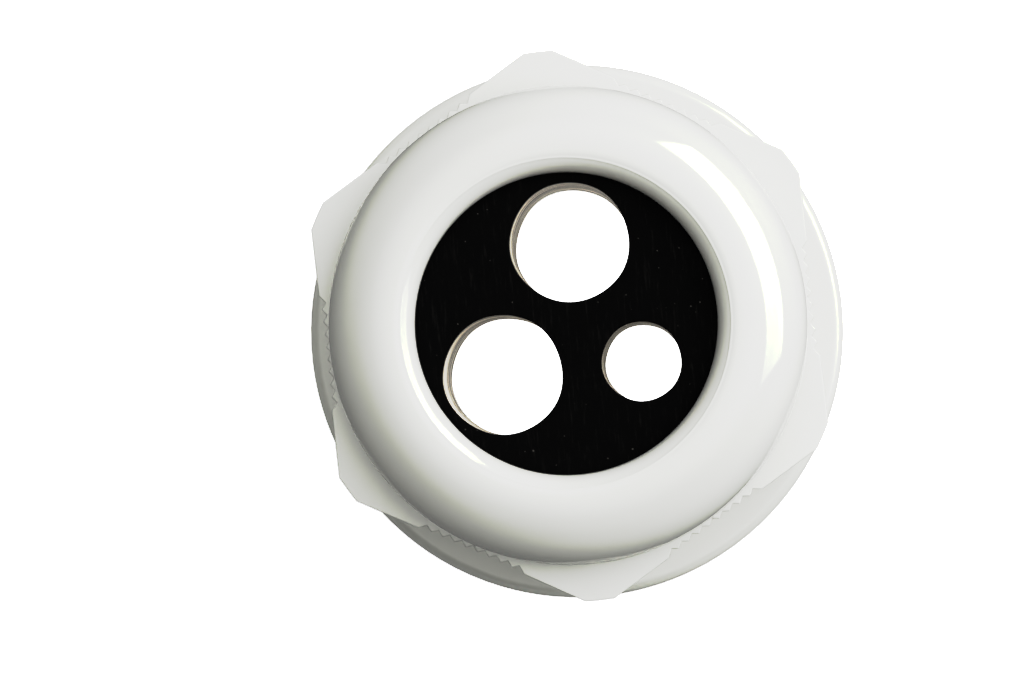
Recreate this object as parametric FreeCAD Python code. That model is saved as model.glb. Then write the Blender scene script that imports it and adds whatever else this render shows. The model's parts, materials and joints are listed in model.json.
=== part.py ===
import FreeCAD, Part
import math
import os

from FreeCAD import Vector

# A cable gland of the M40 size, standing on the free end of its entry thread.
# The axis is +Z, the origin is the centre of that end, and all sizes are in millimetres.
# The small cable bore points along +X, less INSERT_TURN.

# Driving dimensions: radii first, then heights up the axis.
ACROSS_FLATS = 46.0         # cap nut and locknut
CORNER_R = 25.8             # hexagon corners are turned down to this radius
BODY_ACROSS_FLATS = 44.8
BODY_CORNER_R = 25.2
ENTRY_THREAD_R = 20.0       # M40 x 1.5
CAP_THREAD_R = 20.4         # thread under the cap nut
THREAD_CLEARANCE = 0.05     # running clearance of each nut on its thread, on radius
BODY_BORE_R = 14.3
CAGE_SEAT_R = 17.4
COLLAR_R = 26.1
DOME_R = 22.2
DOME_ARC_R = 6.3
MOUTH_R = 13.9
LIP_FILLET = 2.0
INSERT_R = 15.0
LARGE_BORE_R = 5.5
SMALL_BORE_R = 3.65
LARGE_BORE_PITCH_R = 7.5    # bore centres, from the axis
SMALL_BORE_PITCH_R = 7.75
LARGE_BORE_ANGLE = 114.5    # either side of the small bore, in degrees
INSERT_TURN = -3.1          # how far the insert is turned from the hexagon's corner

ENTRY_LENGTH = 18.0
COLLAR_THICK = 3.6
COLLAR_UPPER_EDGE = 1.0     # rounding
COLLAR_LOWER_EDGE = 0.5     # chamfer
BODY_HEX_HIGH = 5.8
SPIGOT_HIGH = 9.1           # the threaded end that the cap nut screws on to
CAP_GAP = 0.4               # left between the tightened cap nut and the body
NUT_HEX_HIGH = 13.6
DOME_HIGH = 9.6
INSERT_RECESS = 2.7         # insert's face behind the mouth
INSERT_HIGH = 13.7
GASKET_THICK = 2.0
PANEL_SPACE = 3.0           # room left for the panel wall
WASHER_THICK = 1.4
LOCKNUT_HIGH = 6.5
SEATING_GAP = 0.1           # between a nut and the ring that travels with it
SLIP_RING_THICK = 1.2
GASKET_INSET = 1.0          # of the gasket's rim behind the collar's
WASHER_INSET = 1.2
WASHER_CLEARANCE = 0.3      # on the entry thread, on radius
SLIP_RING_CLEARANCE = 0.3   # round the insert

# Grip notches on the cap nut's flats
NOTCHES_PER_FLAT = 9
NOTCH_PITCH = 1.18
NOTCH_DEPTH = 0.54          # of the roots, below the flat
NOTCH_TIP_DROP = 0.17       # of the teeth's tips, below the flat
NOTCH_RUN_OUT = 0.7         # from the last root to where the flat goes on

# Clamping cage
FINGERS = 12
FINGER_SLOT = 1.2
SLOT_ABOVE_INSERT = 2.0     # where the slots start, above the insert's lower face
SLOT_REACH = 10.0           # of the tool that cuts a slot, outwards from SLOT_START_R
SLOT_START_R = 13.0
CAGE_FLOOR = 3.0            # below the insert
CAGE_RING_RISE = 0.4        # of its plain ring above the body
CAGE_FIT = 0.05             # in the body and round the insert, on radius
FINGER_TIP_HIGH = 1.0
FINGER_TIP_IN = 0.6

THREAD_LEAD = 1.0           # chamfer at a thread's free end
CAP_THREAD_LEAD = 0.8
BORE_EDGE = 0.8             # chamfer at the mouth of a bore
NUT_CHAMFER = 1.0           # of the cap nut's corners, on radius
LOCKNUT_CHAMFER = 1.2
CHAMFER_SLOPE = 0.6         # height of a corner chamfer over its width
LOCKNUT_SHRINK = 0.3        # of the locknut's corner radius
INSERT_CHAMFER = 0.4

# The cap nut's inside: the thread, then a cone that closes the cage's fingers, then the lip
NUT_THREAD_OVERRUN = 1.5    # of the nut's thread past the spigot
THREAD_TO_CONE = 1.2
CONE_BASE_R = 19.5
CONE_TOP_R = 17.7
CONE_CLEARANCE = 0.35
FINGER_GAP = 0.4            # between the fingers and the slip ring
LIP_GAP = 0.3               # between the insert's face and the lip over it
SLIP_RING_FIT = 0.1         # in the cap nut, on radius

OVERCUT = 1.0               # how far a cutting tool passes a face

# Heights that follow from the sizes above
COLLAR_Z = ENTRY_LENGTH
BODY_HEX_Z = COLLAR_Z + COLLAR_THICK
BODY_TOP_Z = BODY_HEX_Z + BODY_HEX_HIGH
NUT_Z = BODY_TOP_Z + CAP_GAP
NUT_FACE_Z = NUT_Z + NUT_HEX_HIGH
MOUTH_Z = NUT_FACE_Z + DOME_HIGH
INSERT_TOP_Z = MOUTH_Z - INSERT_RECESS
INSERT_Z = INSERT_TOP_Z - INSERT_HIGH
LIP_Z = INSERT_TOP_Z + LIP_GAP
GASKET_Z = COLLAR_Z - GASKET_THICK
WASHER_Z = GASKET_Z - PANEL_SPACE - WASHER_THICK
LOCKNUT_Z = WASHER_Z - SEATING_GAP - LOCKNUT_HIGH

SPIGOT_TOP_Z = BODY_TOP_Z + SPIGOT_HIGH
NUT_THREAD_TOP_Z = SPIGOT_TOP_Z + NUT_THREAD_OVERRUN
CAGE_Z = INSERT_Z - CAGE_FLOOR
CAGE_RING_TOP_Z = SPIGOT_TOP_Z + CAGE_RING_RISE
RING_TOP_Z = LIP_Z - SEATING_GAP
RING_Z = RING_TOP_Z - SLIP_RING_THICK
FINGER_TOP_Z = RING_Z - FINGER_GAP
CONE_Z = NUT_THREAD_TOP_Z + THREAD_TO_CONE
CONE_TOP_Z = RING_Z - SEATING_GAP

TOP = Vector(0, 0, 1)
ORIGIN = Vector(0, 0, 0)
LEAN = math.sqrt(0.5)       # of an arc's middle point, along either of its legs


def turned(points):
    """A solid of revolution about the axis from (radius, height) corners.

    An arc is given as a three-item entry: ("arc", mid point, end point)."""
    edges = []
    here = points[0]
    for step in points[1:] + [points[0]]:
        if step[0] == "arc":
            middle, end = step[1], step[2]
            edges.append(Part.Arc(at(here), at(middle), at(end)).toShape())
            here = end
        else:
            edges.append(Part.LineSegment(at(here), at(step)).toShape())
            here = step
    return Part.Face(Part.Wire(edges)).revolve(ORIGIN, TOP, 360)


def at(point):
    return Vector(point[0], 0, point[1])


def tube(outer_r, inner_r, z, height):
    outer = Part.makeCylinder(outer_r, height, Vector(0, 0, z))
    return outer.cut(Part.makeCylinder(inner_r, height, Vector(0, 0, z)))


def polygon_prism(points, z, height):
    corners = [Vector(x, y, z) for x, y in points]
    face = Part.Face(Part.makePolygon(corners + [corners[0]]))
    return face.extrude(Vector(0, 0, height))


def hexagon(z, height, across_flats, corner_r, chamfer):
    """A hexagonal prism with a corner towards +X, its corners turned down and chamfered below."""
    point_r = across_flats / 2 / math.cos(math.pi / 6)
    corners = [(point_r * math.cos(math.radians(60 * k)), point_r * math.sin(math.radians(60 * k)))
               for k in range(6)]
    blank = Part.makeCylinder(corner_r, height, Vector(0, 0, z))
    if chamfer:
        blank = turned([(0, z), (corner_r - chamfer, z), (corner_r, z + chamfer * CHAMFER_SLOPE),
                        (corner_r, z + height), (0, z + height)])
    return polygon_prism(corners, z, height).common(blank)


def grip_notches(z, height):
    """The space between the teeth down the middle of every flat, as one tool for each flat."""
    flat_x = ACROSS_FLATS / 2
    last_root = (NOTCHES_PER_FLAT - 1) / 2 * NOTCH_PITCH
    notched_half = last_root + NOTCH_RUN_OUT
    outline = [(flat_x + OVERCUT, -notched_half), (flat_x, -notched_half)]
    for k in range(NOTCHES_PER_FLAT):
        root_y = k * NOTCH_PITCH - last_root
        outline.append((flat_x - NOTCH_DEPTH, root_y))
        if k < NOTCHES_PER_FLAT - 1:
            outline.append((flat_x - NOTCH_TIP_DROP, root_y + NOTCH_PITCH / 2))
    outline += [(flat_x, notched_half), (flat_x + OVERCUT, notched_half)]
    tools = []
    for side in range(6):
        tool = polygon_prism(outline, z, height)
        tool.rotate(ORIGIN, TOP, 30 + 60 * side)
        tools.append(tool)
    return tools


def dome_nut():
    hexagonal = hexagon(NUT_Z, NUT_HEX_HIGH, ACROSS_FLATS, CORNER_R, NUT_CHAMFER)
    arc_centre_r = DOME_R - DOME_ARC_R
    arc_centre_z = MOUTH_Z - DOME_ARC_R
    dome = turned([
        (0, NUT_Z), (DOME_R, NUT_Z), (DOME_R, arc_centre_z),
        ("arc", (arc_centre_r + DOME_ARC_R * LEAN, arc_centre_z + DOME_ARC_R * LEAN),
         (arc_centre_r, MOUTH_Z)),
        (0, MOUTH_Z)])
    outside = hexagonal.fuse(dome).cut(grip_notches(NUT_Z - OVERCUT, NUT_HEX_HIGH + OVERCUT))
    thread_r = CAP_THREAD_R + THREAD_CLEARANCE
    fillet_r, fillet_z = MOUTH_R + LIP_FILLET, MOUTH_Z - LIP_FILLET
    inside = turned([
        (0, NUT_Z - OVERCUT), (thread_r + BORE_EDGE, NUT_Z - OVERCUT), (thread_r + BORE_EDGE, NUT_Z),
        (thread_r, NUT_Z + BORE_EDGE), (thread_r, NUT_THREAD_TOP_Z), (CONE_BASE_R, CONE_Z),
        (CONE_TOP_R, CONE_TOP_Z), (CONE_TOP_R, LIP_Z), (MOUTH_R, LIP_Z), (MOUTH_R, fillet_z),
        ("arc", (fillet_r - LIP_FILLET * LEAN, fillet_z + LIP_FILLET * LEAN), (fillet_r, MOUTH_Z)),
        (fillet_r, MOUTH_Z + OVERCUT), (0, MOUTH_Z + OVERCUT)])
    return outside.cut(inside)


def gland_body():
    edge_r, edge_z = COLLAR_R - COLLAR_UPPER_EDGE, BODY_HEX_Z - COLLAR_UPPER_EDGE
    collar = turned([
        (0, COLLAR_Z), (COLLAR_R - COLLAR_LOWER_EDGE, COLLAR_Z), (COLLAR_R, COLLAR_Z + COLLAR_LOWER_EDGE),
        (COLLAR_R, edge_z),
        ("arc", (edge_r + COLLAR_UPPER_EDGE * LEAN, edge_z + COLLAR_UPPER_EDGE * LEAN),
         (edge_r, BODY_HEX_Z)),
        (0, BODY_HEX_Z)])
    entry = turned([(0, 0), (ENTRY_THREAD_R - THREAD_LEAD, 0), (ENTRY_THREAD_R, THREAD_LEAD),
                    (ENTRY_THREAD_R, COLLAR_Z), (0, COLLAR_Z)])
    spigot = turned([(0, BODY_TOP_Z), (CAP_THREAD_R, BODY_TOP_Z),
                     (CAP_THREAD_R, SPIGOT_TOP_Z - CAP_THREAD_LEAD),
                     (CAP_THREAD_R - CAP_THREAD_LEAD, SPIGOT_TOP_Z), (0, SPIGOT_TOP_Z)])
    flats = hexagon(BODY_HEX_Z, BODY_HEX_HIGH, BODY_ACROSS_FLATS, BODY_CORNER_R, 0)
    outside = collar.fuse([entry, flats, spigot])
    inside = turned([
        (0, -OVERCUT), (BODY_BORE_R + BORE_EDGE, -OVERCUT), (BODY_BORE_R + BORE_EDGE, 0),
        (BODY_BORE_R, BORE_EDGE), (BODY_BORE_R, CAGE_Z), (CAGE_SEAT_R, CAGE_Z),
        (CAGE_SEAT_R, SPIGOT_TOP_Z + OVERCUT), (0, SPIGOT_TOP_Z + OVERCUT)])
    return outside.cut(inside)


def clamping_cage():
    seat_r = CAGE_SEAT_R - CAGE_FIT
    inner_r = INSERT_R + CAGE_FIT
    tip_z = FINGER_TOP_Z - FINGER_TIP_HIGH
    shell = turned([
        (BODY_BORE_R, CAGE_Z), (seat_r, CAGE_Z), (seat_r, CAGE_RING_TOP_Z), (finger_r(CONE_Z), CONE_Z),
        (finger_r(tip_z), tip_z), (finger_r(FINGER_TOP_Z) - FINGER_TIP_IN, FINGER_TOP_Z),
        (inner_r, FINGER_TOP_Z), (inner_r, INSERT_Z), (BODY_BORE_R, INSERT_Z)])
    slots = []
    for k in range(FINGERS):
        corner = Vector(SLOT_START_R, -FINGER_SLOT / 2, INSERT_Z + SLOT_ABOVE_INSERT)
        slot = Part.makeBox(SLOT_REACH, FINGER_SLOT, FINGER_TOP_Z, corner)
        slot.rotate(ORIGIN, TOP, 360 / FINGERS * (k + 0.5))
        slots.append(slot)
    return shell.cut(slots)


def finger_r(z):
    """Outer radius of the fingers: the cap nut's cone, less a clearance."""
    rise = (z - CONE_Z) / (CONE_TOP_Z - CONE_Z)
    return CONE_BASE_R + (CONE_TOP_R - CONE_BASE_R) * rise - CONE_CLEARANCE


def seal_insert():
    rubber = turned([
        (0, INSERT_Z), (INSERT_R - INSERT_CHAMFER, INSERT_Z), (INSERT_R, INSERT_Z + INSERT_CHAMFER),
        (INSERT_R, INSERT_TOP_Z), (0, INSERT_TOP_Z)])
    for radius, pitch_r, angle in cable_bores():
        x = pitch_r * math.cos(math.radians(angle))
        y = pitch_r * math.sin(math.radians(angle))
        bore = Part.makeCylinder(radius, INSERT_HIGH + 2 * OVERCUT, Vector(x, y, INSERT_Z - OVERCUT))
        rubber = rubber.cut(bore)
    return rubber


def cable_bores():
    """Radius, distance from the axis and angle of each bore."""
    return [(SMALL_BORE_R, SMALL_BORE_PITCH_R, INSERT_TURN),
            (LARGE_BORE_R, LARGE_BORE_PITCH_R, INSERT_TURN + LARGE_BORE_ANGLE),
            (LARGE_BORE_R, LARGE_BORE_PITCH_R, INSERT_TURN - LARGE_BORE_ANGLE)]


def locknut():
    thread_r = ENTRY_THREAD_R + THREAD_CLEARANCE
    top_z = LOCKNUT_Z + LOCKNUT_HIGH
    corner_r = CORNER_R - LOCKNUT_SHRINK
    nut = hexagon(LOCKNUT_Z, LOCKNUT_HIGH, ACROSS_FLATS, corner_r, LOCKNUT_CHAMFER)
    bore = turned([
        (0, LOCKNUT_Z - OVERCUT), (thread_r + BORE_EDGE, LOCKNUT_Z - OVERCUT),
        (thread_r + BORE_EDGE, LOCKNUT_Z), (thread_r, LOCKNUT_Z + BORE_EDGE),
        (thread_r, top_z - BORE_EDGE), (thread_r + BORE_EDGE, top_z),
        (thread_r + BORE_EDGE, top_z + OVERCUT), (0, top_z + OVERCUT)])
    return nut.cut(bore)


def build():
    ring_inner_r = INSERT_R + SLIP_RING_CLEARANCE
    gasket_inner_r = ENTRY_THREAD_R + THREAD_CLEARANCE
    washer_inner_r = ENTRY_THREAD_R + WASHER_CLEARANCE
    return {
        "dome_nut": dome_nut(),
        "slip_ring": tube(CONE_TOP_R - SLIP_RING_FIT, ring_inner_r, RING_Z, SLIP_RING_THICK),
        "seal_insert": seal_insert(),
        "clamping_cage": clamping_cage(),
        "gland_body": gland_body(),
        "entry_gasket": tube(COLLAR_R - GASKET_INSET, gasket_inner_r, GASKET_Z, GASKET_THICK),
        "locknut_washer": tube(COLLAR_R - WASHER_INSET, washer_inner_r, WASHER_Z, WASHER_THICK),
        "locknut": locknut(),
    }


os.makedirs("parts", exist_ok=True)
for name, solid in build().items():
    solid.exportStep("parts/" + name + ".step")
    box = solid.BoundBox
    print(name, "valid" if solid.isValid() else "NOT VALID", len(solid.Solids), "solid",
          round(solid.Volume, 1), "mm3, z", round(box.ZMin, 3), "to", round(box.ZMax, 3))
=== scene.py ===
import json
import math

import bmesh
import bpy
from mathutils import Matrix, Vector


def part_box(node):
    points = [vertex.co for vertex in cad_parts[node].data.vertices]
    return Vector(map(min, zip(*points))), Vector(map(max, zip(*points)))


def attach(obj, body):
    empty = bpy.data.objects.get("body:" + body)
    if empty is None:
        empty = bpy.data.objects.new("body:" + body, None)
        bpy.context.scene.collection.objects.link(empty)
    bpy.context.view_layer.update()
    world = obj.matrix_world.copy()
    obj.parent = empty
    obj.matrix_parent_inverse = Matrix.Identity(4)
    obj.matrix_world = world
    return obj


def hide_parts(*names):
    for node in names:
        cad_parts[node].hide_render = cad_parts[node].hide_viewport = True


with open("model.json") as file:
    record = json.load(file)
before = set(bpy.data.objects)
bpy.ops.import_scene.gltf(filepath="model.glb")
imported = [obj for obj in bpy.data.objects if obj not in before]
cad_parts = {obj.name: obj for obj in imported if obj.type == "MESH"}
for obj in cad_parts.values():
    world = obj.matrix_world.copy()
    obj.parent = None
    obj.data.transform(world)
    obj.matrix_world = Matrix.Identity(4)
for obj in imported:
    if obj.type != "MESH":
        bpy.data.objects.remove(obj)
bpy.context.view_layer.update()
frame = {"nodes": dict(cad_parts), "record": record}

# The looks of a three-hole cable gland. Lengths are in metres, in the frame's axes: the gland
# stands on the free end of its entry thread, with its mouth up and a hexagon corner towards +X.
MM = 0.001
FULL_TURN = 2 * math.pi


# ---------------------------------------------------------------- sizes, from the frame
def heights(node):
    low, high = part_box(node)
    return low.z, high.z


def reach(node):
    """How far a node reaches from the axis along +X."""
    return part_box(node)[1].x


def mount(name):
    return next(m for m in frame["record"]["mounts"] if m["name"] == name)


NUT_LOW, NUT_HIGH = heights("dome_nut")
BODY_LOW, BODY_HIGH = heights("gland_body")
INSERT_LOW, INSERT_HIGH = heights("seal_insert")
GASKET_HIGH = heights("entry_gasket")[1]
LOCKNUT_LOW, LOCKNUT_HIGH = heights("locknut")
CAGE_LOW = heights("clamping_cage")[0]
FLAT_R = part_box("dome_nut")[1].y            # half of the size across flats
COLLAR_R = reach("gland_body")
INSERT_R = reach("seal_insert")
ENTRY_R = mount("entry_thread")["dims"]["r_mm"] * MM

# ---------------------------------------------------------------- sizes that the frame doesn't hold
CORNER_R = 25.8 * MM                        # hexagon corners are turned down to this
BODY_CORNER_R = 25.2 * MM
BODY_FLAT_R = 22.4 * MM
ENTRY_PITCH = 1.5 * MM
CAP_THREAD_R = 20.4 * MM
CAP_PITCH = 2.0 * MM
THREAD_CLEARANCE = 0.05 * MM
THREAD_DEPTH_SHARE = 0.58                   # of the pitch
THREAD_FORM = ((-0.07, 1.0), (0.07, 1.0), (0.10, 0.93), (0.35, 0.07),
               (0.40, 0.0), (0.60, 0.0), (0.65, 0.07), (0.90, 0.93))     # (of the pitch, of the depth)
THREAD_ENTRY_EDGE = 0.8 * MM                # chamfer where a thread or bore starts

COLLAR_THICK = 3.6 * MM
COLLAR_EDGE = 1.0 * MM
COLLAR_LOWER_EDGE = 0.5 * MM
BODY_HEX_EDGE = 0.35 * MM
BODY_BORE_R = 14.3 * MM
CAGE_SEAT_R = 17.4 * MM
CAGE_SEAT_EDGE = 0.2 * MM

NUT_HEX_HIGH = 13.6 * MM
CAP_GAP = 0.4 * MM                          # between the nut and the body's hexagon
CAP_THREAD_OVERRUN = 1.5 * MM               # of the nut's thread past the body's
RING_SEAT_R = 17.7 * MM                     # the slip ring's place under the dome
RING_SEAT_HIGH = 1.4 * MM
RING_SEAT_EDGE = 0.2 * MM
CONE_BASE_R = 19.5 * MM
CONE_BASE_RISE = 1.2 * MM                   # above the end of the nut's thread
LIP_GAP = 0.3 * MM                          # between the insert and the lip
LIP_BACK_EDGE = 0.15 * MM
DOME_R = 22.2 * MM
DOME_ARC_R = 6.3 * MM
MOUTH_R = 13.9 * MM
LIP_FILLET = 2.0 * MM
DOME_FOOT_OUT = 0.12 * MM                   # a small bead where the dome meets the hexagon
DOME_FOOT_HIGH = 0.3 * MM
DOME_WALL_HIGH = 1.0 * MM                   # the upright wall above that bead
RIDGE_R = 15.16 * MM                        # a fine raised line round the lip
RIDGE_HIGH = 0.035 * MM
FACE_MARGIN = 0.05 * MM                     # a narrow strip that keeps a flat face's shading flat
FACE_EDGE = 0.12 * MM                       # rounding of a hexagon face's outline
OUTLINE_ROUND = 0.1 * MM                    # rounding of a hexagon's and a notch's corners
NOTCHES_PER_FLAT = 9
NOTCH_PITCH = 1.18 * MM
NOTCH_DEPTH = 0.56 * MM
NOTCH_TIP_DROP = 0.15 * MM
NOTCH_RUN_OUT = 0.7 * MM                    # from the last notch's root to the flat

INSERT_RIM = 0.15 * MM
INSERT_COLUMNS = 160
HOLE_COLUMNS = 96
HOLE_RIM_ROWS = 3
HOLE_WALL_ROWS = 8
HOLE_WOBBLE = 0.006                         # of the hole's radius
HOLE_TWIST = 40 / (13.7 * MM)               # how fast the unevenness turns down the hole, in radians/m
WELD_DISTANCE = 0.0005 * MM


# ---------------------------------------------------------------- mesh tools
def arc(centre, radius, start, end, steps):
    """Points of a profile arc, as (radius from the axis, height). Angles in degrees, 0 is outwards."""
    points = []
    for k in range(steps + 1):
        angle = math.radians(start + (end - start) * k / steps)
        points.append((centre[0] + radius * math.cos(angle), centre[1] + radius * math.sin(angle)))
    return points


def rounded(points, radius, steps):
    """The polyline with a small arc in place of each real corner."""
    nearly_straight, most_of_a_side = math.radians(8), 0.42
    result = [points[0]]
    for before, here, after in zip(points, points[1:], points[2:]):
        back, on = before - here, after - here
        turn = math.pi - back.angle(on)
        if turn < nearly_straight:
            result.append(here)
            continue
        cut = min(radius * math.tan(turn / 2), most_of_a_side * back.length, most_of_a_side * on.length)
        start, end = here + back.normalized() * cut, here + on.normalized() * cut
        for k in range(steps + 1):
            t = k / steps
            result.append(start * (1 - t) ** 2 + here * 2 * t * (1 - t) + end * t ** 2)
    result.append(points[-1])
    return result


def hexagon_columns(flat_r, corner_r, notched):
    """(angle, radius) pairs round a hexagon with turned-down corners, with a corner at angle 0."""
    corner_half = math.pi / 6 - math.acos(flat_r / corner_r)
    arc_steps, flat_steps, crowding = 3, 14, 1.8
    side = []
    for k in range(arc_steps + 1):
        angle = -math.pi / 6 + corner_half * k / arc_steps
        side.append(Vector((corner_r * math.cos(angle), corner_r * math.sin(angle))))
    last_root = (NOTCHES_PER_FLAT - 1) * NOTCH_PITCH / 2
    notched_half = last_root + NOTCH_RUN_OUT
    flat_start = side[-1].y
    flat_end = -notched_half if notched else 0.0
    for k in range(1, flat_steps + 1):
        share = (k / flat_steps) ** crowding
        side.append(Vector((flat_r, flat_start + (flat_end - flat_start) * share)))
    if notched:
        for k in range(NOTCHES_PER_FLAT):
            y = k * NOTCH_PITCH - last_root
            side.append(Vector((flat_r - NOTCH_DEPTH, y)))
            if k < NOTCHES_PER_FLAT - 1:
                side.append(Vector((flat_r - NOTCH_TIP_DROP, y + NOTCH_PITCH / 2)))
    mirrored = [Vector((p.x, -p.y)) for p in reversed(side[:arc_steps + 1 + flat_steps])]
    side += mirrored if notched else mirrored[1:]
    outline = rounded(side, OUTLINE_ROUND, 3)[:-1]
    columns = []
    for sector in range(6):
        middle = math.radians(30 + 60 * sector)
        columns += [(middle + math.atan2(p.y, p.x), p.length) for p in outline]
    return columns


def round_columns(count):
    return [(FULL_TURN * k / count, 0.0) for k in range(count)]


class Turned:
    """A closed skin round the axis, built row by row along its profile on shared columns."""

    def __init__(self, columns):
        self.columns = columns
        self.mesh = bmesh.new()
        self.first = None
        self.last = None

    def add_row(self, points):
        row = [self.mesh.verts.new((r * math.cos(a), r * math.sin(a), z))
               for (a, _), (r, z) in zip(self.columns, points)]
        if self.last:
            self.skin(self.last, row)
        self.first = self.first or row
        self.last = row

    def skin(self, low, high):
        count = len(low)
        for i in range(count):
            self.mesh.faces.new((low[i], low[(i + 1) % count], high[(i + 1) % count], high[i]))

    def ring(self, radius, z):
        self.add_row([(radius, z)] * len(self.columns))

    def rings(self, profile):
        for radius, z in profile:
            self.ring(radius, z)

    def hexagon_ring(self, z, inset=0.0, limit=math.inf):
        """A row on the hexagon's outline, set in by inset and turned down to limit."""
        self.add_row([(min(r, limit) - inset, z) for _, r in self.columns])

    def thread(self, crest_r, root_r, low, high, pitch, phase, low_lead, high_lead, downwards=False):
        """A helical thread between two plain rings of root_r. The leads fade its ends out."""
        turns = math.ceil((high - low) / pitch) + 2
        rows = []
        for turn in range(-2, turns):
            for share, height in THREAD_FORM:
                row = []
                for angle, _ in self.columns:
                    z = low + (turn + share + phase + angle / FULL_TURN) * pitch
                    z = min(max(z, low), high)
                    fade = min(1.0, (z - low) / low_lead, (high - z) / high_lead)
                    r = root_r + (crest_r - root_r) * height * max(fade, 0.0)
                    row.append(self.mesh.verts.new((r * math.cos(angle), r * math.sin(angle), z)))
                rows.append(row)
        step, last_column = len(THREAD_FORM), len(self.columns) - 1
        for j in range(len(rows) - 1):
            below, above = rows[j], rows[j + 1]
            for i in range(last_column):
                self.mesh.faces.new((below[i], below[i + 1], above[i + 1], above[i]))
            seam_low = rows[min(j + step, len(rows) - 1)]
            seam_high = rows[min(j + 1 + step, len(rows) - 1)]
            if seam_low is not seam_high:
                self.mesh.faces.new((below[last_column], seam_low[0], seam_high[0], above[last_column]))
        if downwards:
            rows.reverse()
        self.last = rows[-1]

    def close(self):
        self.skin(self.last, self.first)

    def finish(self, name, sharp_degrees=34):
        return finish_mesh(self.mesh, name, sharp_degrees)


def finish_mesh(mesh, name, sharp_degrees):
    bmesh.ops.remove_doubles(mesh, verts=mesh.verts, dist=WELD_DISTANCE)
    bmesh.ops.dissolve_degenerate(mesh, edges=mesh.edges, dist=WELD_DISTANCE)
    bmesh.ops.recalc_face_normals(mesh, faces=mesh.faces)
    data = bpy.data.meshes.new(name)
    mesh.to_mesh(data)
    mesh.free()
    data.shade_smooth()
    data.set_sharp_from_angle(angle=math.radians(sharp_degrees))
    piece = bpy.data.objects.new(name, data)
    bpy.context.scene.collection.objects.link(piece)
    weighted = piece.modifiers.new("even shading", "WEIGHTED_NORMAL")
    weighted.keep_sharp = True
    return piece


# ---------------------------------------------------------------- materials
def new_material(name):
    material = bpy.data.materials.new(name)
    material.use_nodes = True
    nodes = material.node_tree.nodes
    return material, nodes, material.node_tree.links, nodes["Principled BSDF"]


def noise(nodes, links, scale, detail=2.0, stretch=(1, 1, 1), turn=0.0, roughness=0.5):
    """A noise texture in object coordinates. scale is in features a metre."""
    place = nodes.new("ShaderNodeTexCoord")
    mapping = nodes.new("ShaderNodeMapping")
    mapping.vector_type = "TEXTURE"
    mapping.inputs["Scale"].default_value = [1 / s for s in stretch]
    mapping.inputs["Rotation"].default_value = (0, 0, math.radians(turn))
    links.new(place.outputs["Object"], mapping.inputs["Vector"])
    texture = nodes.new("ShaderNodeTexNoise")
    texture.inputs["Scale"].default_value = scale
    texture.inputs["Detail"].default_value = detail
    texture.inputs["Roughness"].default_value = roughness
    links.new(mapping.outputs["Vector"], texture.inputs["Vector"])
    return texture.outputs["Fac"]


def mapped(nodes, links, value, low, high, from_low=0.0, from_high=1.0):
    node = nodes.new("ShaderNodeMapRange")
    node.inputs["From Min"].default_value = from_low
    node.inputs["From Max"].default_value = from_high
    node.inputs["To Min"].default_value = low
    node.inputs["To Max"].default_value = high
    links.new(value, node.inputs["Value"])
    return node.outputs["Result"]


def blended(nodes, links, share, first, second):
    node = nodes.new("ShaderNodeMix")
    node.data_type = "RGBA"
    for key, value in (("A", first), ("B", second)):
        socket = next(s for s in node.inputs if s.name == key and s.type == "RGBA")
        if isinstance(value, tuple):
            socket.default_value = (*value, 1)
        else:
            links.new(value, socket)
    links.new(share, node.inputs["Factor"])
    return next(s for s in node.outputs if s.type == "RGBA")


def bumped(nodes, links, height, strength, distance, below=None):
    node = nodes.new("ShaderNodeBump")
    node.inputs["Strength"].default_value = strength
    node.inputs["Distance"].default_value = distance
    links.new(height, node.inputs["Height"])
    if below is not None:
        links.new(below, node.inputs["Normal"])
    return node.outputs["Normal"]


def nylon(name, colour, roughness):
    """Moulded polyamide: a little mottled, with faint flow lines and a fine orange peel."""
    material, nodes, links, shader = new_material(name)
    mottle = noise(nodes, links, 90, detail=3)
    darker = tuple(c * 0.96 for c in colour)
    links.new(blended(nodes, links, mottle, darker, colour), shader.inputs["Base Color"])
    links.new(mapped(nodes, links, noise(nodes, links, 500, detail=4), roughness * 0.8, roughness * 1.25),
              shader.inputs["Roughness"])
    peel = bumped(nodes, links, noise(nodes, links, 2600, detail=2), 0.12, 0.01 * MM)
    flow = bumped(nodes, links, noise(nodes, links, 220, detail=1, stretch=(1, 1, 3)), 0.15, 0.04 * MM, peel)
    links.new(flow, shader.inputs["Normal"])
    shader.inputs["IOR"].default_value = 1.53
    shader.inputs["Subsurface Weight"].default_value = 0.08
    shader.inputs["Subsurface Radius"].default_value = (1, 1, 0.9)
    shader.inputs["Subsurface Scale"].default_value = 0.7 * MM
    return material


def face_rubber():
    """Black rubber, wiped: fine scratches one way, with a few pale specks of dust."""
    material, nodes, links, shader = new_material("insert_rubber")
    scratches = noise(nodes, links, 420, detail=5, stretch=(9, 0.8, 1), turn=28, roughness=0.7)
    lit = mapped(nodes, links, scratches, 0.0, 1.0, 0.56, 0.80)
    black, scuffed, dusty = (0.0018, 0.0018, 0.0019), (0.011, 0.0105, 0.010), (0.07, 0.066, 0.06)
    base = blended(nodes, links, lit, black, scuffed)
    dust = mapped(nodes, links, noise(nodes, links, 2900, detail=0), 0.0, 1.0, 0.835, 0.87)
    links.new(blended(nodes, links, dust, base, dusty), shader.inputs["Base Color"])
    links.new(mapped(nodes, links, noise(nodes, links, 700, detail=3), 0.42, 0.62),
              shader.inputs["Roughness"])
    grain = bumped(nodes, links, noise(nodes, links, 3800, detail=3), 0.15, 0.02 * MM)
    links.new(bumped(nodes, links, scratches, 0.25, 0.03 * MM, grain), shader.inputs["Normal"])
    shader.inputs["Specular IOR Level"].default_value = 0.02
    return material


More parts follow.
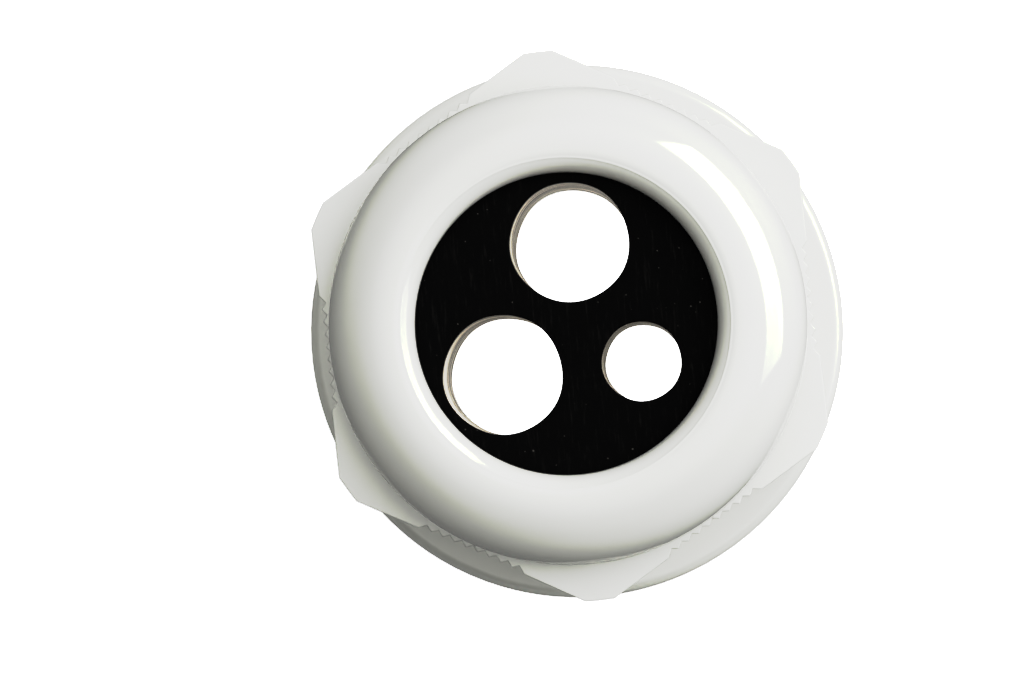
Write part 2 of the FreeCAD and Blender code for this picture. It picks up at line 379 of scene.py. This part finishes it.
def bore_rubber():
    """The cut walls of the cable holes: pale bloom with streaks that run round the hole."""
    material, nodes, links, shader = new_material("bore_rubber")
    streaks = noise(nodes, links, 30, detail=5, stretch=(1.2, 1.2, 48), roughness=0.75)
    pale = mapped(nodes, links, streaks, 0.0, 1.0, 0.42, 0.54)
    brown, cream, tan = (0.10, 0.09, 0.075), (0.70, 0.64, 0.54), (0.40, 0.36, 0.30)
    streaked = blended(nodes, links, pale, brown, cream)
    blot = mapped(nodes, links, noise(nodes, links, 600, detail=4), 0.0, 0.4, 0.45, 0.75)
    links.new(blended(nodes, links, blot, streaked, tan), shader.inputs["Base Color"])
    links.new(mapped(nodes, links, streaks, 0.75, 0.5), shader.inputs["Roughness"])
    links.new(bumped(nodes, links, streaks, 0.5, 0.06 * MM), shader.inputs["Normal"])
    return material


def gasket_rubber():
    """Near-black rubber with a faint grey bloom."""
    material, nodes, links, shader = new_material("gasket_rubber")
    bloom = noise(nodes, links, 160, detail=4)
    clean, bloomed = (0.010, 0.010, 0.011), (0.030, 0.030, 0.031)
    links.new(blended(nodes, links, bloom, clean, bloomed), shader.inputs["Base Color"])
    links.new(mapped(nodes, links, bloom, 0.5, 0.75), shader.inputs["Roughness"])
    links.new(bumped(nodes, links, noise(nodes, links, 2500, detail=3), 0.2, 0.02 * MM),
              shader.inputs["Normal"])
    return material


def zinc_plate():
    """Zinc-plated steel, clouded, with fine marks that run round its edge."""
    material, nodes, links, shader = new_material("zinc_plate")
    cloud = noise(nodes, links, 240, detail=4)
    dull, bright = (0.50, 0.50, 0.49), (0.66, 0.66, 0.64)
    links.new(blended(nodes, links, cloud, dull, bright), shader.inputs["Base Color"])
    links.new(mapped(nodes, links, noise(nodes, links, 900, detail=3), 0.26, 0.44),
              shader.inputs["Roughness"])
    links.new(bumped(nodes, links, noise(nodes, links, 1500, detail=4, stretch=(1, 1, 6)), 0.2, 0.02 * MM),
              shader.inputs["Normal"])
    shader.inputs["Metallic"].default_value = 1.0
    return material


# ---------------------------------------------------------------- pieces
def nut_sides(skin, low, high, chamfer, chamfer_high, front_round):
    """The outside of a hexagon from its lower face to its upper edge, corners chamfered below."""
    edge = FACE_EDGE
    turned_down = CORNER_R - chamfer
    skin.hexagon_ring(low, edge + FACE_MARGIN, turned_down)
    skin.hexagon_ring(low, edge, turned_down)
    skin.hexagon_ring(low + 0.3 * edge, 0.3 * edge, turned_down)
    steps = 6
    for k in range(steps + 1):
        rise = edge + (chamfer_high - edge) * k / steps
        skin.hexagon_ring(low + rise, 0.0, CORNER_R - chamfer * (1 - rise / chamfer_high))
    skin.hexagon_ring(high - front_round)
    skin.hexagon_ring(high - 0.3 * front_round, 0.3 * front_round)
    skin.hexagon_ring(high, front_round)
    skin.hexagon_ring(high, front_round + FACE_MARGIN)


def dome_nut(material):
    face = NUT_LOW + NUT_HEX_HIGH
    top = NUT_HIGH
    thread_r = CAP_THREAD_R + THREAD_CLEARANCE
    depth = THREAD_DEPTH_SHARE * CAP_PITCH
    thread_low, thread_top = NUT_LOW + THREAD_ENTRY_EDGE, BODY_HIGH + CAP_THREAD_OVERRUN
    lip_low = INSERT_HIGH + LIP_GAP
    skin = Turned(hexagon_columns(FLAT_R, CORNER_R, notched=True))
    skin.ring(thread_r + THREAD_ENTRY_EDGE, NUT_LOW)
    nut_sides(skin, NUT_LOW, face, chamfer=1.0 * MM, chamfer_high=0.6 * MM, front_round=0.12 * MM)
    foot_r = DOME_R + DOME_FOOT_OUT
    skin.rings([(foot_r + 0.02 * MM, face), (foot_r, face + 0.05 * MM)])
    skin.rings(arc((DOME_R, face + DOME_FOOT_HIGH - DOME_FOOT_OUT), DOME_FOOT_OUT, 0, 80, 3))
    skin.rings([(DOME_R, face + DOME_FOOT_HIGH + 0.05 * MM), (DOME_R, face + DOME_WALL_HIGH)])
    skin.rings(arc((DOME_R - DOME_ARC_R, top - DOME_ARC_R), DOME_ARC_R, 0, 90, 32))
    lip_centre = (MOUTH_R + LIP_FILLET, top - LIP_FILLET)
    ridge = 180 - math.degrees(math.acos((lip_centre[0] - RIDGE_R) / LIP_FILLET))
    ridge_half, ridge_foot = 0.8, 3.0           # degrees of the lip's arc
    skin.rings(arc(lip_centre, LIP_FILLET, 92, ridge - ridge_foot, 5))
    skin.rings(arc(lip_centre, LIP_FILLET + RIDGE_HIGH, ridge - ridge_half, ridge + ridge_half, 2))
    skin.rings(arc(lip_centre, LIP_FILLET, ridge + ridge_foot, 180, 16))
    skin.rings([(MOUTH_R, lip_low + LIP_BACK_EDGE), (MOUTH_R + LIP_BACK_EDGE, lip_low)])
    skin.rings([(RING_SEAT_R - RING_SEAT_EDGE, lip_low), (RING_SEAT_R, lip_low - RING_SEAT_EDGE),
                (RING_SEAT_R, lip_low - RING_SEAT_HIGH), (CONE_BASE_R, thread_top + CONE_BASE_RISE),
                (thread_r, thread_top)])
    skin.thread(thread_r - depth, thread_r, thread_low, thread_top, CAP_PITCH,
                cap_phase(thread_low) + 0.5, 0.8 * CAP_PITCH, 0.6 * CAP_PITCH, downwards=True)
    skin.close()
    dress(skin.finish("cap_nut_skin"), material, "dome_nut", "cap")


def cap_phase(low):
    """Where in its pitch the body's cap thread is at a height."""
    return -((low - BODY_HIGH) / CAP_PITCH) % 1.0


def entry_phase(low):
    """Where in its pitch the body's entry thread is at a height."""
    return -(low / ENTRY_PITCH) % 1.0


def dress(piece, material, node, body):
    """Give a piece its material, and put it in a CAD node's place."""
    piece.data.materials.append(material)
    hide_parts(node)
    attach(piece, body)


def gland_body(material):
    depth = THREAD_DEPTH_SHARE * ENTRY_PITCH
    core = ENTRY_R - depth
    collar_low = GASKET_HIGH
    collar_high = collar_low + COLLAR_THICK
    hex_high = NUT_LOW - CAP_GAP
    edge_r = COLLAR_R - COLLAR_EDGE
    lower_edge_r = COLLAR_R - COLLAR_LOWER_EDGE
    skin = Turned(hexagon_columns(BODY_FLAT_R, BODY_CORNER_R, notched=False))
    skin.rings([(BODY_BORE_R, BODY_LOW + THREAD_ENTRY_EDGE), (BODY_BORE_R + THREAD_ENTRY_EDGE, BODY_LOW),
                (core, BODY_LOW)])
    skin.thread(ENTRY_R, core, BODY_LOW, collar_low - 0.3 * MM, ENTRY_PITCH, entry_phase(BODY_LOW),
                1.1 * MM, 1.0 * MM)
    skin.rings([(core, collar_low), (lower_edge_r, collar_low)])
    skin.rings(arc((lower_edge_r, collar_low + COLLAR_LOWER_EDGE), COLLAR_LOWER_EDGE, -75, 0, 4))
    skin.rings(arc((edge_r, collar_high - COLLAR_EDGE), COLLAR_EDGE, 0, 90, 8))
    for spread, rise in ((0.25 * MM, 0.0), (0.08 * MM, 0.08 * MM), (0.0, 0.25 * MM)):
        skin.add_row([(max(r, min(r + spread, edge_r)), collar_high + rise) for _, r in skin.columns])
    skin.hexagon_ring(hex_high - BODY_HEX_EDGE)
    skin.hexagon_ring(hex_high - 0.3 * BODY_HEX_EDGE, 0.3 * BODY_HEX_EDGE)
    skin.hexagon_ring(hex_high, BODY_HEX_EDGE)
    cap_core = CAP_THREAD_R - THREAD_DEPTH_SHARE * CAP_PITCH
    skin.ring(cap_core, hex_high)
    skin.thread(CAP_THREAD_R, cap_core, hex_high, BODY_HIGH, CAP_PITCH, cap_phase(hex_high),
                1.2 * MM, 1.0 * MM)
    skin.rings([(CAGE_SEAT_R + CAGE_SEAT_EDGE, BODY_HIGH), (CAGE_SEAT_R, BODY_HIGH - CAGE_SEAT_EDGE)])
    skin.rings([(CAGE_SEAT_R, CAGE_LOW), (BODY_BORE_R, CAGE_LOW)])
    skin.close()
    dress(skin.finish("body_skin"), material, "gland_body", "housing")


def locknut(material):
    thread_r = ENTRY_R + THREAD_CLEARANCE
    depth = THREAD_DEPTH_SHARE * ENTRY_PITCH
    edge = THREAD_ENTRY_EDGE
    skin = Turned(hexagon_columns(FLAT_R, CORNER_R, notched=False))
    skin.ring(thread_r + edge, LOCKNUT_LOW)
    nut_sides(skin, LOCKNUT_LOW, LOCKNUT_HIGH,
              chamfer=1.2 * MM, chamfer_high=0.72 * MM, front_round=0.3 * MM)
    skin.rings([(thread_r + edge, LOCKNUT_HIGH), (thread_r, LOCKNUT_HIGH - edge)])
    skin.thread(thread_r - depth, thread_r, LOCKNUT_LOW + edge, LOCKNUT_HIGH - edge, ENTRY_PITCH,
                entry_phase(LOCKNUT_LOW + edge) + 0.5, 0.7 * ENTRY_PITCH, 0.7 * ENTRY_PITCH,
                downwards=True)
    skin.close()
    dress(skin.finish("locknut_skin"), material, "locknut", "lock")


def flat_ring(name, node, inner_r, edge):
    """A flat ring with rounded edges."""
    low, high = heights(node)
    outer_r = reach(node)
    skin = Turned(round_columns(160))
    skin.rings(arc((outer_r - edge, low + edge), edge, -90, 0, 4))
    skin.rings(arc((outer_r - edge, high - edge), edge, 0, 90, 4))
    skin.rings(arc((inner_r + edge, high - edge), edge, 90, 180, 4))
    skin.rings(arc((inner_r + edge, low + edge), edge, 180, 270, 4))
    skin.close()
    return skin.finish(name)


def seal_insert(face_material, bore_material):
    """The rubber plug: rounded rims, and holes whose walls are a little uneven from the cutting."""
    rim = INSERT_RIM
    mesh = bmesh.new()
    bottom_loops, top_loops = [], []

    def wall(centre, profile, count, inward, wobble):
        rows = []
        for r, z in profile:
            row = []
            for k in range(count):
                angle = FULL_TURN * k / count
                uneven = 1 + wobble * (math.sin(3 * angle + HOLE_TWIST * z) + math.sin(5 * angle + 1.3))
                row.append(mesh.verts.new((centre[0] + r * uneven * math.cos(angle),
                                           centre[1] + r * uneven * math.sin(angle), z)))
            rows.append(row)
        faces = []
        for below, above in zip(rows, rows[1:]):
            for k in range(count):
                nxt = (k + 1) % count
                faces.append(mesh.faces.new((below[k], below[nxt], above[nxt], above[k])))
        for face in faces:
            face.material_index = 1 if inward else 0
        bottom_loops.append(rows[0])
        top_loops.append(rows[-1])
        if inward:
            rim_faces = count * HOLE_RIM_ROWS
            for face in faces[:rim_faces] + faces[-rim_faces:]:
                face.material_index = 0

    low, high, outer = INSERT_LOW, INSERT_HIGH, INSERT_R
    side = arc((outer - rim, low + rim), rim, -90, 0, 3) + arc((outer - rim, high - rim), rim, 0, 90, 3)
    wall((0, 0), side, INSERT_COLUMNS, inward=False, wobble=0.0)
    for name in ("cable_hole_small", "cable_hole_large_a", "cable_hole_large_b"):
        hole = mount(name)
        r = hole["dims"]["r_mm"] * MM
        turns = [math.pi / 2 * k / HOLE_RIM_ROWS for k in range(HOLE_RIM_ROWS + 1)]
        lower_rim = [(r + rim - math.sin(t) * rim, low + rim - math.cos(t) * rim) for t in turns]
        side = lower_rim + [(r, low + (high - low) * k / HOLE_WALL_ROWS) for k in range(1, HOLE_WALL_ROWS)]
        side += [(p[0], low + high - p[1]) for p in reversed(lower_rim)]
        wall(hole["pos_m"], side, HOLE_COLUMNS, inward=True, wobble=HOLE_WOBBLE)
    for loops in (bottom_loops, top_loops):
        edges = []
        for row in loops:
            for k in range(len(row)):
                edges.append(mesh.edges.get((row[k], row[(k + 1) % len(row)])))
        bmesh.ops.triangle_fill(mesh, use_beauty=True, use_dissolve=False, edges=edges)
    piece = finish_mesh(mesh, "insert_rubber_plug", 34)
    piece.data.materials.append(face_material)
    piece.data.materials.append(bore_material)
    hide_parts("seal_insert")
    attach(piece, "housing")


def paint(node, material):
    """A CAD node whose shape is right keeps it, and gets a better material."""
    data = frame["nodes"][node].data
    for k in range(len(data.materials)):
        data.materials[k] = material
    if not data.materials:
        data.materials.append(material)


# ---------------------------------------------------------------- stage, light and camera
IMAGE_RIGHT = math.radians(23.5)    # the frame direction that is to the right in the view
CAMERA_DISTANCE = 0.420             # to the plane of the nut's front face
LENS, SENSOR_WIDTH = 158.0, 36.0    # in millimetres
OVERHEAD = 1.50                     # strength of the room's light from nearly straight above,
LOW_WALLS = 0.34                    # from low down all round,
BESIDE = 0.34                       # and from the key light's side
KEY_RADIANCE = 3.8
FLOOR_GLOW, LIGHT_TABLE_GLOW = 0.8, 1.6
# (tone in, tone out) points of the view's contrast curve
TONES = ((0.17, 0.12), (0.30, 0.30), (0.43, 0.60), (0.70, 0.785), (0.94, 0.88))


def direction(azimuth_degrees, polar_degrees):
    """A direction in the frame: azimuth counter-clockwise from the view's right, polar from +Z."""
    azimuth = math.radians(azimuth_degrees) + IMAGE_RIGHT
    polar = math.radians(polar_degrees)
    level = math.sin(polar)
    return Vector((level * math.cos(azimuth), level * math.sin(azimuth), math.cos(polar)))


def make_camera():
    """Nearly straight above the mouth, leaning a little, with the gland a little off the middle."""
    lean_right, lean_down = math.radians(2.71), math.radians(1.25)
    off_right, off_up = math.radians(0.725), math.radians(0.203)
    out = Vector((-math.tan(lean_right), math.tan(lean_down), 1)).normalized()
    across = Vector((math.cos(-IMAGE_RIGHT), math.sin(-IMAGE_RIGHT), 0))
    across = (across - out * across.dot(out)).normalized()
    beyond = out.cross(across)
    to_camera = Matrix((across, beyond, out)).transposed()
    to_frame = to_camera.transposed()
    face_centre = Vector((0, 0, NUT_LOW + NUT_HEX_HIGH))
    seen_at = Vector((math.tan(off_right), math.tan(off_up), -1)) * CAMERA_DISTANCE
    data = bpy.data.cameras.new("camera")
    data.lens = LENS
    data.sensor_width = SENSOR_WIDTH
    camera = bpy.data.objects.new("camera", data)
    bpy.context.scene.collection.objects.link(camera)
    camera.matrix_world = Matrix.Translation(face_centre - to_frame @ seen_at) @ to_frame.to_4x4()
    data.clip_start, data.clip_end = 0.01, 50
    bpy.context.scene.camera = camera


def softbox(name, azimuth, polar, distance, width, height, radiance, target):
    """A rectangular lamp in a given direction from its target, facing it."""
    data = bpy.data.lights.new(name, "AREA")
    data.shape = "RECTANGLE"
    data.size, data.size_y = width, height
    data.energy = radiance * width * height * math.pi
    lamp = bpy.data.objects.new(name, data)
    bpy.context.scene.collection.objects.link(lamp)
    towards = direction(azimuth, polar)
    lamp.location = target + towards * distance
    lamp.rotation_mode = "QUATERNION"
    lamp.rotation_quaternion = towards.to_track_quat("Z", "Y")


def make_world():
    """A white room: bright overhead, low down all round and by the key light, dimmer between."""
    world = bpy.data.worlds.new("studio")
    bpy.context.scene.world = world
    world.use_nodes = True
    nodes, links = world.node_tree.nodes, world.node_tree.links
    background = nodes["Background"]
    place = nodes.new("ShaderNodeTexCoord")

    def towards(vector):
        dot = nodes.new("ShaderNodeVectorMath")
        dot.operation = "DOT_PRODUCT"
        links.new(place.outputs["Generated"], dot.inputs[0])
        dot.inputs[1].default_value = vector
        return dot.outputs["Value"]

    def plus(first, second):
        node = nodes.new("ShaderNodeMath")
        node.operation = "ADD"
        links.new(first, node.inputs[0])
        links.new(second, node.inputs[1])
        return node.outputs[0]

    up = towards((0, 0, 1))
    overhead = mapped(nodes, links, towards(direction(55, 17)), 0.0, OVERHEAD, 0.60, 0.90)
    low_walls = mapped(nodes, links, up, 0.0, LOW_WALLS, 0.36, 0.12)
    under = mapped(nodes, links, up, 0.0, -0.6 * LOW_WALLS, -0.05, -0.6)
    beside = mapped(nodes, links, towards(direction(55, 70)), 0.07, BESIDE, 0.0, 0.9)
    links.new(plus(plus(overhead, low_walls), plus(under, beside)), background.inputs["Strength"])
    background.inputs["Color"].default_value = (1.0, 1.0, 0.985, 1)


def set_tones():
    """A contrasty print: shadows fall off fast and the whites level out."""
    view = bpy.context.scene.view_settings
    view.view_transform = "Standard"
    view.use_curve_mapping = True
    curve = view.curve_mapping.curves[3]
    for tone in TONES:
        curve.points.new(*tone)
    view.curve_mapping.update()


def make_stage():
    """A pale floor that curves up into a backdrop all round, and a lamp under the cable holes."""
    floor_z = BODY_LOW
    middle, far, sweep, tall = 0.0001, 3.0, 0.8, 3.0
    profile = [(middle, floor_z), (0.05, floor_z), (0.3, floor_z), (far, floor_z)]
    profile += [(far + x, floor_z + sweep + z) for x, z in arc((0, 0), sweep, -90, 0, 10)]
    profile.append((far + sweep, floor_z + tall))
    skin = Turned(round_columns(96))
    skin.rings(profile)
    floor = skin.finish("floor", 60)
    material, _, _, shader = new_material("pale_floor")
    shader.inputs["Base Color"].default_value = (0.9, 0.9, 0.9, 1)
    shader.inputs["Roughness"].default_value = 0.9
    shader.inputs["Emission Color"].default_value = (1, 1, 1, 1)
    shader.inputs["Emission Strength"].default_value = FLOOR_GLOW
    floor.data.materials.append(material)
    for flag in ("visible_diffuse", "visible_glossy", "visible_transmission", "visible_shadow"):
        setattr(floor, flag, False)

    table_z, table_r = floor_z + 0.2 * MM, BODY_BORE_R + 0.5 * MM
    skin = Turned(round_columns(48))
    skin.rings([(middle, table_z), (table_r, table_z)])
    lamp = skin.finish("light_table", 60)
    material, _, _, shader = new_material("light_table")
    shader.inputs["Base Color"].default_value = (1, 1, 1, 1)
    shader.inputs["Emission Color"].default_value = (1, 1, 1, 1)
    shader.inputs["Emission Strength"].default_value = LIGHT_TABLE_GLOW
    lamp.data.materials.append(material)


def main():
    set_tones()
    grey = nylon("cap_nylon", (0.60, 0.605, 0.58), 0.08)
    body = nylon("body_nylon", (0.60, 0.605, 0.575), 0.14)
    cage = nylon("cage_nylon", (0.55, 0.57, 0.57), 0.3)
    acetal = nylon("acetal", (0.8, 0.8, 0.77), 0.25)
    dome_nut(grey)
    gland_body(body)
    locknut(body)
    seal_insert(face_rubber(), bore_rubber())
    gasket = flat_ring("gasket_ring", "entry_gasket", ENTRY_R + THREAD_CLEARANCE, 0.4 * MM)
    dress(gasket, gasket_rubber(), "entry_gasket", "housing")
    washer = flat_ring("washer_ring", "locknut_washer", ENTRY_R + 0.3 * MM, 0.2 * MM)
    dress(washer, zinc_plate(), "locknut_washer", "washer_carrier")
    paint("clamping_cage", cage)
    paint("slip_ring", acetal)
    make_world()
    make_stage()
    softbox("key", azimuth=25, polar=60, distance=0.5, width=0.65, height=0.31,
            radiance=KEY_RADIANCE, target=Vector((0, 0, NUT_LOW)))
    make_camera()


main()
